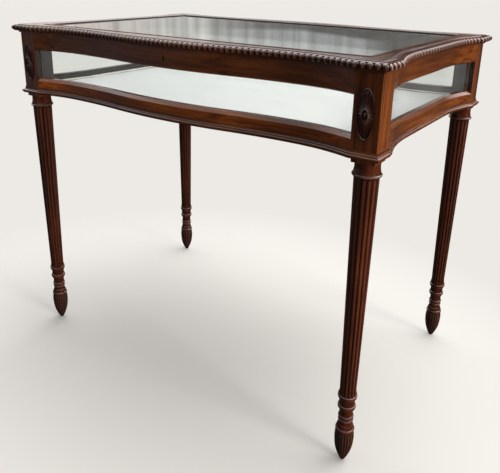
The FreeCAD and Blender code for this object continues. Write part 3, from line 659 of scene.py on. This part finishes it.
for name, side, degrees in sides:
    ribs = endRibs if side["proud"] is None else gadroon
    grid = sideSweep(side, degrees, ribCounts(side, ribs), ribbed(ribs))
    makePiece("gadrooned_edge_" + name, [gridSkin(grid)], edgeWood[sideGrain[name]], "lid",
              ["lid_edge_moulding_" + name], smoothAngle=50.0)
print("gadrooned edge made")

# Fine steps along the outer edge of the lid frame

steps = {"base": 759.35, "height": 0.72, "edges": [2.9, 1.2, -1.6, -3.4, -6.6, -8.2]}


def stepProfile(s):
    # three flat steps with sharp grooves between them; relief is 0 in the grooves, which paints shade there
    e = s["edges"]
    low, high = s["base"] - 0.3, s["base"]
    top = s["base"] + s["height"]
    points = [(e[0], low, 0.2), (e[0], high + 0.3, 0.6)]
    points += [(e[0] - 0.5, top, 1), (e[1] + 0.4, top, 1), (e[1], high + 0.05, 0)]
    points += [(e[1] - 0.4, high + 0.05, 0), (e[1] - 0.9, top - 0.1, 1)]
    points += [(e[2] + 0.5, top - 0.1, 1), (e[2], high + 0.1, 0), (e[3], high + 0.1, 0)]
    points += [(e[3] - 0.5, top - 0.25, 1), (e[4] + 0.8, top - 0.3, 1), (e[4], high + 0.12, 0)]
    points += [(e[5], high + 0.02, 0.2), (e[5], low, 0.2)]
    return points


for name, side, degrees in sides:
    grid = sideSweep(side, degrees, plainCounts(side, 28, 4), steady(stepProfile(steps)))
    makePiece("lid_steps_" + name, [gridSkin(grid)], stepWood[sideGrain[name]], "lid",
              smoothAngle=25.0)
print("lid steps made")

# Legs: one grid of height and angle; the reeds and the carving change the turned radius

leg = {
    "spacing": (case["halfX"] - case["block"] / 2, case["halfY"] - case["block"] / 2),
    "pad": 42.0,
    "padLow": 597.0,
    "reeds": 14,
    "leaves": 20,
    "columns": 140,
    "reedLow": 149.2,
    "reedHigh": 572.5,
    "lowDepth": 1.9,
    "highDepth": 2.5,
    "endRound": 6.0,
    # painted light on the carving: the shades are what is left between reeds and leaves, the highlights pale
    # lines on their crests and on bead crests
    "reedShade": 0.15,
    "reedSharp": 1.8,  # how narrow the pale part of a reed is, and how narrow its painted highlight
    "reedHighlight": 0.12,
    "highlightSharp": 40,
    "budHigh": 65.2,
    "budFade": 12.0,  # the leaves run out towards the toe over this height
    "budDepth": 1.9,
    "budShade": 0.08,
    "budCrest": 0.55,
    "budSharp": 10,  # the same for a leaf
    "budHighlight": 0.9,
    "budHighlightSharp": 60,
    "beadReach": 1.2,  # a place that stands out from those this far above and below is the crest of a bead
    "beadFrom": 0.10,
    "beadHighlight": 0.16,
    "quirk": 3.0,  # hollows narrower than about twice this get painted shade, fully where this deep
    "quirkDepth": 1.4,
}
# kind, height and radius at its end, and how far it stands out or in: read from the floor up
turning = [
    ("line", 0.0, 4.2, 0.0), ("sweep", 46.0, 17.8, 3.2), ("sweep", 65.2, 17.5, 0.6),
    ("line", 66.0, 16.8, 0.0), ("line", 68.5, 16.2, 0.0), ("bead", 75.5, 16.3, 1.5),
    ("line", 77.0, 15.6, 0.0), ("sweep", 84.0, 13.7, 0.8), ("sweep", 90.4, 13.0, -0.4),
    ("bead", 95.5, 13.1, 1.2), ("line", 97.8, 12.8, 0.0), ("bead", 104.0, 13.0, 1.6),
    ("sweep", 119.0, 14.6, -1.2), ("bead", 127.5, 14.8, 2.1), ("sweep", 141.5, 16.0, -1.0),
    ("bead", 149.5, 16.6, 1.5), ("sweep", 158.0, 15.1, 0.3), ("line", 566.0, 21.0, 0.0),
    ("line", 572.5, 21.1, 0.0), ("line", 573.8, 23.0, 0.0), ("bead", 577.6, 24.3, 1.1),
    ("line", 578.2, 23.4, 0.0), ("sweep", 595.5, 21.3, -1.0), ("line", 597.4, 21.3, 0.0),
]


def turnedProfile(parts):
    # line: straight; sweep: a parabola on the chord; bead: half an ellipse on the chord
    height, radius = [0.0], [0.0]
    for kind, z1, r1, size in parts:
        z0, r0 = height[-1], radius[-1]
        count = 10
        if kind == "line":
            count = 60 if z1 - z0 > 20 else 1
        q = np.linspace(0, 1, count + 1)[1:]
        s = q if kind == "line" else (1 - np.cos(np.pi * q)) / 2
        shape = {"line": 0 * s, "sweep": 4 * s * (1 - s), "bead": dome(2 * s - 1)}[kind]
        height += list(z0 + (z1 - z0) * s)
        radius += list(r0 + (r1 - r0) * s + size * shape)
    return np.array(height), np.array(radius)


def legGrid(p):
    # rings at the heights of the turning, with more where reeds and leaves end; columns round the leg
    height, radius = turnedProfile(turning)
    low, high = p["reedLow"], p["reedHigh"]
    ends = [np.linspace(1, p["budHigh"], 40), low + np.linspace(-1, 9, 15), high - np.linspace(0, 9, 13)]
    z = np.unique(np.round(np.concatenate([height, *ends]), 3))
    order = np.argsort(height, kind="stable")
    r = np.interp(z, height[order], radius[order])
    r[0] = turning[0][2]

    def beside(reach):
        return (np.interp(z + reach, z, r) + np.interp(z - reach, z, r)) / 2

    # painted highlight on the crests of beads, painted shade in narrow hollows
    paintedHighlight = p["beadHighlight"] * np.clip((r - beside(p["beadReach"]) - p["beadFrom"]) / 0.10, 0, 1)
    hollow = (np.clip(1 - (beside(p["quirk"]) - r) / p["quirkDepth"], 0.15, 1) + paintedHighlight)[:, None]
    turn = np.arange(p["columns"]) / p["columns"]
    angle = turn * 2 * np.pi
    phase = (turn * p["reeds"] + 0.5)[None, :] % 1.0
    leafPhase = (turn * p["leaves"] + 0.5)[None, :] % 1.0
    z, r = z[:, None], r[:, None]
    # reeds and leaves are the same lobes: full width along their run and a round tip at each free end
    above = np.clip((high - z) / (p["endRound"] / 2), 0, 1)
    below = np.clip((z - low) / p["endRound"], 0, 1)
    reed = reedLobe(phase, dome(1 - above) * dome(1 - below))
    depth = np.interp(z, [low, high], [p["lowDepth"], p["highDepth"]])
    onShaft = (z <= high) & (z >= low)
    tip = np.clip((p["budHigh"] - z) / p["endRound"], 0, 1)
    leaf = reedLobe(leafPhase, dome(1 - tip))
    fade = np.clip(z / p["budFade"], 0, 1)
    onBud = (z <= p["budHigh"]) & (z > 0)
    sunk = np.select([onShaft, onBud], [depth * (1 - reed), p["budDepth"] * fade * (1 - leaf)], 0.0)
    # painted shade between the reeds and the leaves, painted highlight on their crests
    pale, crestHighlight = reed ** p["reedSharp"], reed ** p["highlightSharp"]
    fluted = p["reedShade"] + (1 - p["reedShade"]) * pale + p["reedHighlight"] * crestHighlight
    pale, crestHighlight = leaf ** p["budSharp"], leaf ** p["budHighlightSharp"]
    carved = p["budShade"] + (p["budCrest"] - p["budShade"]) * pale + p["budHighlight"] * crestHighlight
    relief = np.select([onShaft, onBud], [fluted, carved], 1.0) * hollow
    size = r - sunk
    return np.stack([size * np.cos(angle), size * np.sin(angle), z + 0 * size, relief], -1)


legShape = legGrid(leg)


def blockSkin(wide, low, high, x, y):
    # a square post from two rings of four corners
    ring = np.array([(1, 1), (-1, 1), (-1, -1), (1, -1)]) * wide / 2 + np.array([x, y])
    rows = [np.column_stack([ring, np.full(4, height), np.ones(4)]) for height in (low, high)]
    return gridSkin(np.array(rows))


corners = {depth + "_" + width: (xSign, ySign) for depth, ySign in (("front", -1), ("back", 1))
           for width, xSign in (("left", -1), ("right", 1))}
for name, (xSign, ySign) in corners.items():
    x, y = xSign * leg["spacing"][0], ySign * leg["spacing"][1]
    shaft = legShape + np.array([x, y, 0, 0])
    block = blockSkin(case["block"], case["blockBottom"], case["blockTop"], x, y)
    pad = blockSkin(leg["pad"], leg["padLow"], case["blockBottom"] + 0.2, x, y)
    makePiece("turned_leg_" + name, [gridSkin(shaft)], legWood, "case", ["leg_" + name],
              smoothAngle=60.0)
    makePiece("corner_block_" + name, [block, pad], woodAlong[2], "case", ["leg_" + name],
              bevel=0.7)
print("legs made")

# Paterae: an oval sunburst of petals round a boss, inside a thin rim

paterae = {
    "width": 28.0,
    "height": 85.0,
    "up": 3.0,
    "petals": 24,
    "perPetal": 10,
    # edge of the boss, outer edge of the groove round it and tips of the petals, as shares of the half width
    "boss": 0.18,
    "groove": 0.28,
    "tips": 0.90,
    "bossHigh": 6.4,
    "bossLow": 3.0,
    "grooveLow": 2.0,
    "petalHigh": 6.2,
    "petalLow": 2.3,
    "petalSlope": 2.6,  # over 1 the petals fall away quickly from the groove and then lie flatter
    "tipLong": 0.14,
    "gutter": 1.2,
    "rimHigh": 2.8,
    "carve": 2.0,
    # relief of each zone, which paints shade where low and highlight where over 1
    "bossShade": 0.70,
    "grooveShade": 0.20,
    "petalShade": 0.05,  # between the petals
    "petalCrest": 0.75,
    "rimShade": 0.35,
    "paintedHighlight": 0.75,
    "sunk": 0.4,  # the back of the carving lies this far inside the block
}


def pateraSkin(p):
    # rings from the middle outwards: boss, groove, petals that slope down to a gutter, rim; the boss and each
    # petal are half ellipses across, and the petals are spaced evenly along the oval
    fine = np.linspace(0, 2 * np.pi, 4001)
    rimX, rimZ = p["width"] / 2 * np.cos(fine), p["height"] / 2 * np.sin(fine)
    length = np.concatenate([[0], np.cumsum(np.hypot(np.diff(rimX), np.diff(rimZ)))])
    count = p["petals"] * p["perPetal"]
    angle = np.interp(np.arange(count) / count * length[-1], length, fine)
    phase = ((np.arange(count) + p["perPetal"] / 2) % p["perPetal"] / p["perPetal"])[None, :]
    lobe = dome(2 * phase - 1)
    boss, groove, tips = p["boss"], p["groove"], p["tips"]
    ring = np.concatenate([
        np.linspace(0.02, boss, 8), np.linspace(boss + 0.01, groove, 6), np.linspace(groove + 0.01, tips, 20),
        np.linspace(tips + 0.01, 1.0, 9)])[:, None]
    along = np.clip((ring - groove) / (tips - groove), 0, 1)
    button = p["bossLow"] + (p["bossHigh"] - p["bossLow"]) * dome(ring / boss)
    across = np.clip((ring - boss) / (groove - boss), 0, 1)
    trench = p["grooveLow"] + (p["petalHigh"] - p["grooveLow"]) * across ** 2
    slope = p["petalLow"] + (p["petalHigh"] - p["petalLow"]) * (1 - along) ** p["petalSlope"]
    ends = dome(np.clip((along - 1 + p["tipLong"]) / p["tipLong"], 0, 1))
    petal = slope - p["carve"] * (1 - lobe * ends) * np.clip(along * 6, 0.15, 1)
    crest = np.sin(np.clip((ring - tips) / (1 - tips), 0, 1) * np.pi) ** 0.8
    rim = p["gutter"] + (p["rimHigh"] - p["gutter"]) * crest
    zones = [ring <= boss, ring <= groove, ring <= tips]
    height = np.where(ring > 0.999, 0.0, np.select(zones, [button, trench, petal], rim))
    # painted highlight on the petals near the boss; painted shade between the petals, in the groove and on
    # the low rim
    paintedHighlight = p["paintedHighlight"] * lobe ** 10 * (1 - along) ** 1.5
    petalRelief = p["petalShade"] + (p["petalCrest"] - p["petalShade"]) * (lobe * ends) ** 2 + paintedHighlight
    relief = np.select(zones, [p["bossShade"], p["grooveShade"] * across ** 2, petalRelief],
                       p["rimShade"] + (1 - p["rimShade"]) * crest)
    x = p["width"] / 2 * ring ** 0.8 * np.cos(angle)
    z = p["height"] / 2 * ring ** 1.2 * np.sin(angle)
    grid = np.stack([x, -height + 0 * x, z, relief + 0 * x], -1)
    back = grid[-1:].copy()
    back[..., 1] = p["sunk"]
    return gridSkin(np.concatenate([grid, back]))


for name, (xSign, ySign) in corners.items():
    points, quads, caps = pateraSkin(paterae)
    middle = (case["blockBottom"] + case["blockTop"]) / 2 + paterae["up"]
    points = turnedRound(points, 0 if ySign < 0 else 180)
    points = points + np.array([xSign * leg["spacing"][0], ySign * case["halfY"], middle, 0])
    makePiece("oval_patera_" + name, [(points, quads, caps)], pateraWood, "case",
              ["patera_" + name], smoothAngle=60.0)
print("paterae made")

# Lining: silk drawn over its board, a little slack, with the edges rolled down

lining = {
    "top": 624.5,
    "inset": 20.4,
    "thick": 2.2,
    "play": 0.4,  # beside the corner blocks
    "roll": 1.8,
    "rollWidth": 9.0,
    "pucker": 0.45,
    "slackShare": 0.55,  # of it; the small pulls of the tacking have the other
    "pullShare": 0.35,
    "slackWaves": (31.0, 57.0, 43.0, 71.0),  # millimetres to a radian of each sine
    "pullWaves": (8.5, 60.0),
    "pullReach": 22.0,  # how far in from the edge they fade out
    "step": 9.0,
    "wing": 6,  # columns and rows beside the blocks, which reach into the bows and hollows of the sides
    "flat": (0.832, 0.519),  # metres, then the area of that cut with its hollow sides and notched corners
    "area": 0.3963,
}


def insideLine(side, along, inset):
    # how far from the middle of the case the inner line of a side lies, at each place along it
    limit = side["half"] - case["block"] + 6
    line = sideSweep(side, 0, plainCounts(side, 60, 0), steady([(-inset, 0, 1)]), limit)[:, 0]
    line = line[np.argsort(line[:, 0])]
    return np.interp(np.abs(along), line[:, 0], -line[:, 1])


def liningGrid(p):
    # columns and rows are stretched so that the outer ones lie on the inner faces; the slack is a product of
    # two sines and the pulls at the edge a sum of two, each with a phase that is itself a sine
    spanX = case["halfX"] - case["block"] - p["play"]
    spanY = case["halfY"] - case["block"] - p["play"]
    middleX = np.linspace(-spanX, spanX, round(2 * spanX / p["step"]) + 1)
    middleY = np.linspace(-spanY, spanY, round(2 * spanY / p["step"]) + 1)
    wing = np.linspace(0, 1, p["wing"])[1:]
    beside = len(wing)
    ends = [np.pad(middle, beside, "edge") for middle in (middleX, middleY)]
    baseX, baseY = np.meshgrid(*ends, indexing="ij")
    edgeX = insideLine(shortSide, baseY, p["inset"])
    edgeY = insideLine(longSide, baseX, p["inset"])
    outX = np.concatenate([wing[::-1], 0 * middleX, wing])[:, None]
    outY = np.concatenate([wing[::-1], 0 * middleY, wing])[None, :]
    x = baseX + np.sign(baseX) * outX * (edgeX - spanX)
    y = baseY + np.sign(baseY) * outY * (edgeY - spanY)
    near = np.minimum(edgeX - np.abs(x), edgeY - np.abs(y))
    edge = np.clip(1 - near / p["rollWidth"], 0, 1)
    a, b, c, d = p["slackWaves"]
    slack = np.sin(x / a + 1.3 * np.sin(y / b)) * np.sin(y / c + 1.1 * np.sin(x / d))
    short, long = p["pullWaves"]
    fade = np.exp(-near / p["pullReach"])
    pulls = np.sin(x / short + 2 * np.sin(y / long)) * fade + np.sin(y / short + 2 * np.sin(x / long)) * fade
    wave = p["pucker"] * (p["slackShare"] * slack + p["pullShare"] * pulls)
    z = p["top"] - 0.35 + wave - p["roll"] * edge ** 2
    keep = ~((outX > 0) & (outY > 0))
    return np.stack([x, y, z, np.ones_like(x)], -1), keep


def liningPiece(p):
    # the top sheet, a copy of it below, and a strip that joins their edges
    grid, keep = liningGrid(p)
    ny = grid.shape[1]
    used = keep[:-1, :-1] & keep[1:, :-1] & keep[1:, 1:] & keep[:-1, 1:]
    i, j = np.nonzero(used)
    first = i * ny + j
    quads = np.stack([first, first + ny, first + ny + 1, first + 1], 1)
    inUse, quads = np.unique(quads, return_inverse=True)
    quads = quads.reshape(-1, 4)
    top = grid.reshape(-1, 4)[inUse]
    bottom = top.copy()
    bottom[:, 2] = p["top"] - p["thick"]
    edges = np.concatenate([quads[:, [k, (k + 1) % 4]] for k in range(4)])
    edges = {tuple(edge) for edge in edges.tolist()}
    rim = np.array(sorted((u, v) for u, v in edges if (v, u) not in edges))
    count = len(top)
    walls = np.stack([rim[:, 1], rim[:, 0], rim[:, 0] + count, rim[:, 1] + count], 1)
    faces = np.concatenate([quads, quads[:, ::-1] + count, walls])
    return outwards(np.concatenate([top, bottom]), faces, [])


liningObject = makePiece("silk_lining", [liningPiece(lining)], liningSilk, "case", ["floor_lining"],
                         smoothAngle=70.0)
print("lining made")

# Border: a two-strand cord laid along each rail

border = {
    "out": -23.9,
    "height": 626.3,
    "radius": 1.9,
    "strand": 0.55,  # how much the two strands stand out
    "turn": 9.0,
    "step": 1.5,
    "around": 10,
    "play": 0.6,  # beside the corner blocks
}


def cordSection(p):
    # a round section with two lobes, the cosine's size round it, turned a little further at each station
    around = np.arange(p["around"]) * 2 * np.pi / p["around"]

    def section(station):
        twist = station * p["step"] / p["turn"] * np.pi
        lobe = np.abs(np.cos(around[None, :] - twist))
        size = p["radius"] + p["strand"] * (lobe - 0.6)
        relief = np.clip(lobe * 1.4, 0, 1)
        return p["out"] + size * np.cos(around), p["height"] + size * np.sin(around), relief
    return section


for name, side, degrees in sides:
    limit = side["half"] - case["block"] - border["play"]
    bows = 1 if side["proud"] is None else 2
    lengths = [limit - side["deep"]] + [side["deep"] / bows] * bows
    counts = [0] + [round(length / border["step"]) for length in lengths]
    grid = sideSweep(side, degrees, counts, cordSection(border), limit)
    makePiece("border_cord_" + name, [gridSkin(grid)], borderSilk, "case",
              ["lining_border"] if name == "front" else (), smoothAngle=80.0)
print("border made")

# Stage, light and background

stage = {
    "floorSize": 60.0,
    "floor": (0.93, 0.913, 0.887),
    "floorGlossy": (0.035, 0.033, 0.030),  # what polished wood sees of the floor
    "floorGlossyLeft": (0.20, 0.16, 0.17),  # the same past leftTo
    "leftFrom": -2.2,
    "leftTo": -3.8,
    "floorBounce": (0.20, 0.18, 0.16),  # what the floor throws up
    "background": (0.845, 0.822, 0.783),
    "middle": (0.0, -0.3, 0.0),
    "fadeStart": 0.55,  # metres from that middle where the lit floor passes into the plain background
    "fadeEnd": 1.05,
}


def rayKinds(tree):
    # seen: the camera looks straight at it or through glass; glossy: it is mirrored in something polished
    path = addNode(tree, "ShaderNodeLightPath")
    seen = reckon(tree, "MAXIMUM", path.outputs["Is Camera Ray"], path.outputs["Is Transmission Ray"])
    return seen, path.outputs["Is Glossy Ray"]


def makeStage(s):
    mesh = bpy.data.meshes.new("floor")
    h = s["floorSize"] / 2
    mesh.from_pydata([(-h, -h, 0), (h, -h, 0), (h, h, 0), (-h, h, 0)], [], [(0, 1, 2, 3)])
    floor = addObject("floor", mesh)
    material, tree, shader, output = newMaterial("floor_paper")
    seen, glossy = rayKinds(tree)
    where = addNode(tree, "ShaderNodeTexCoord").outputs["Object"]
    paler = spread(tree, axesOf(tree)["X"], s["leftFrom"], s["leftTo"])
    mirrored = blendColours(tree, paler, s["floorGlossy"], s["floorGlossyLeft"])
    unseen = blendColours(tree, glossy, s["floorBounce"], mirrored)
    colour = blendColours(tree, seen, unseen, s["floor"])
    feed(tree, shader, {"Base Color": colour, "Roughness": 0.9, "Specular IOR Level": 0.0})
    distance = addNode(tree, "ShaderNodeVectorMath", {0: where, 1: s["middle"]}, operation="DISTANCE")
    far = spread(tree, distance.outputs["Value"], s["fadeStart"], s["fadeEnd"])
    plain = addNode(tree, "ShaderNodeEmission", {"Color": s["background"]})
    share = reckon(tree, "MULTIPLY", far, seen)
    both = mixShaders(tree, share, shader.outputs["BSDF"], plain.outputs["Emission"])
    feed(tree, output, {"Surface": both})
    mesh.materials.append(material)


# What polished surfaces mirror; directions are degrees to the right of straight behind the table
room = {
    "front": (0.10, 0.10, 0.105),  # even light by direction, for matt surfaces: it grows from front to back
    "behind": (1.18, 1.17, 1.15),
    "frontAt": -0.6,
    "behindAt": 0.5,
    "ceiling": (4.6, 4.4, 4.4),
    "ceilingLow": 0.28,
    "ceilingHigh": 0.55,
    "ceilingFront": 0.20,  # share of it that is left towards the front
    "ceilingFrontAt": -0.34,
    "ceilingBackAt": 0.16,
    "round": [
        (-180, (0.05, 0.05, 0.055)), (-100, (0.08, 0.08, 0.085)), (-62, (0.84, 0.76, 0.70)),
        (-52, (0.92, 0.76, 0.68)), (-47, (0.72, 0.66, 0.61)), (-43, (0.73, 0.72, 0.67)),
        (-39.5, (0.66, 0.66, 0.62)), (-37.5, (0.40, 0.41, 0.40)), (-30, (0.35, 0.36, 0.36)),
        (-23.2, (0.30, 0.31, 0.31)), (-22.2, (0.02, 0.02, 0.02)), (-17, (0.10, 0.07, 0.055)),
        (-14, (0.15, 0.09, 0.07)), (10, (0.08, 0.08, 0.08)), (60, (0.055, 0.055, 0.055)),
        (180, (0.05, 0.05, 0.055)),
    ],
    "low": [  # the same close to the horizon, where something dark stands
        (-48, (0.72, 0.66, 0.61)), (-40, (0.62, 0.61, 0.58)), (-37, (0.30, 0.28, 0.26)),
        (-33, (0.13, 0.11, 0.10)), (-28, (0.03, 0.025, 0.025)), (-18, (0.05, 0.04, 0.035)),
        (-14, (0.15, 0.09, 0.07)),
    ],
    "lowWest": (-49, -47),  # directions over which it begins and ends
    "lowEast": (-16, -14),
    "lowRise": (-30, -23),  # its top edge rises between these directions, given as a share of straight up
    "lowTop": (0.0855, 0.0985),
    "lowEdge": 0.005,
    "streaks": 55.0,
    "streakDark": 0.72,
    "streakPale": 1.28,
}


def makeWorld(s, p):
    # camera and transmitted rays see the plain background, diffuse rays an even light, glossy rays the room
    world = bpy.data.worlds.new("studio")
    world.use_nodes = True
    tree = world.node_tree
    tree.nodes.clear()
    axes = axesOf(tree, "Generated")
    turn = reckon(tree, "ARCTAN2", axes["X"], axes["Y"])

    def overTurn(directions, before, after):
        start, end = (math.radians(degrees) for degrees in directions)
        return spread(tree, turn, start, end, before, after)

    place = spread(tree, turn, -math.pi, math.pi)
    walls, low = [ramp(tree, place, [((degrees + 180) / 360, colour) for degrees, colour in stops])
                  for stops in (p["round"], p["low"])]
    over = reckon(tree, "SUBTRACT", axes["Z"], overTurn(p["lowRise"], *p["lowTop"]))
    under = spread(tree, over, 0.0, p["lowEdge"], 1.0, 0.0)
    inLow = reckon(tree, "MULTIPLY", overTurn(p["lowWest"], 0.0, 1.0), overTurn(p["lowEast"], 1.0, 0.0))
    walls = blendColours(tree, reckon(tree, "MULTIPLY", under, inLow), walls, low)
    streaks = addNode(tree, "ShaderNodeTexNoise", {
        "W": turn, "Scale": p["streaks"], "Detail": 3.0}, noise_dimensions="1D").outputs["Fac"]
    walls = tinted(tree, walls, spread(tree, streaks, 0.3, 0.7, p["streakDark"], p["streakPale"]))
    high = spread(tree, axes["Z"], p["ceilingLow"], p["ceilingHigh"])
    share = spread(tree, axes["Y"], p["ceilingFrontAt"], p["ceilingBackAt"], p["ceilingFront"], 1.0)
    mirrored = blendColours(tree, high, walls, tinted(tree, share, p["ceiling"]))
    behind = spread(tree, axes["Y"], p["frontAt"], p["behindAt"])
    evenLight = blendColours(tree, behind, p["front"], p["behind"])
    seen, glossy = rayKinds(tree)
    unseen = blendColours(tree, glossy, evenLight, mirrored)
    colour = blendColours(tree, seen, unseen, s["background"])
    light = addNode(tree, "ShaderNodeBackground", {"Color": colour, "Strength": 1.0})
    addNode(tree, "ShaderNodeOutputWorld", {"Surface": light.outputs["Background"]})
    bpy.context.scene.world = world


lamps = {
    "key": {"place": (1.13, 2.54, 8.0), "size": 7.4, "power": 312.0, "colour": (1.0, 0.985, 0.96)},
    "right": {"place": (11.0, -0.8, 1.2), "size": 3.2, "power": 1330.0, "colour": (1.0, 0.94, 0.85)},
}
aim = (0.0, 0.0, 0.55)


def makeLamp(name, p):
    data = bpy.data.lights.new(name, "AREA")
    data.shape = "SQUARE"
    data.size = p["size"]
    data.energy = p["power"]
    data.color = p["colour"]
    obj = addObject(name, data)
    obj.visible_glossy = False
    back = np.array(p["place"]) - np.array(aim)
    back /= np.linalg.norm(back)
    right = np.cross([0, 0, 1], back)
    right /= np.linalg.norm(right)
    setFrame(obj, p["place"], right, np.cross(back, right), back)


makeStage(stage)
makeWorld(stage, room)
for lampName, values in lamps.items():
    makeLamp(lampName, values)
bpy.context.scene.view_settings.view_transform = "Standard"
print("stage and lamps made")
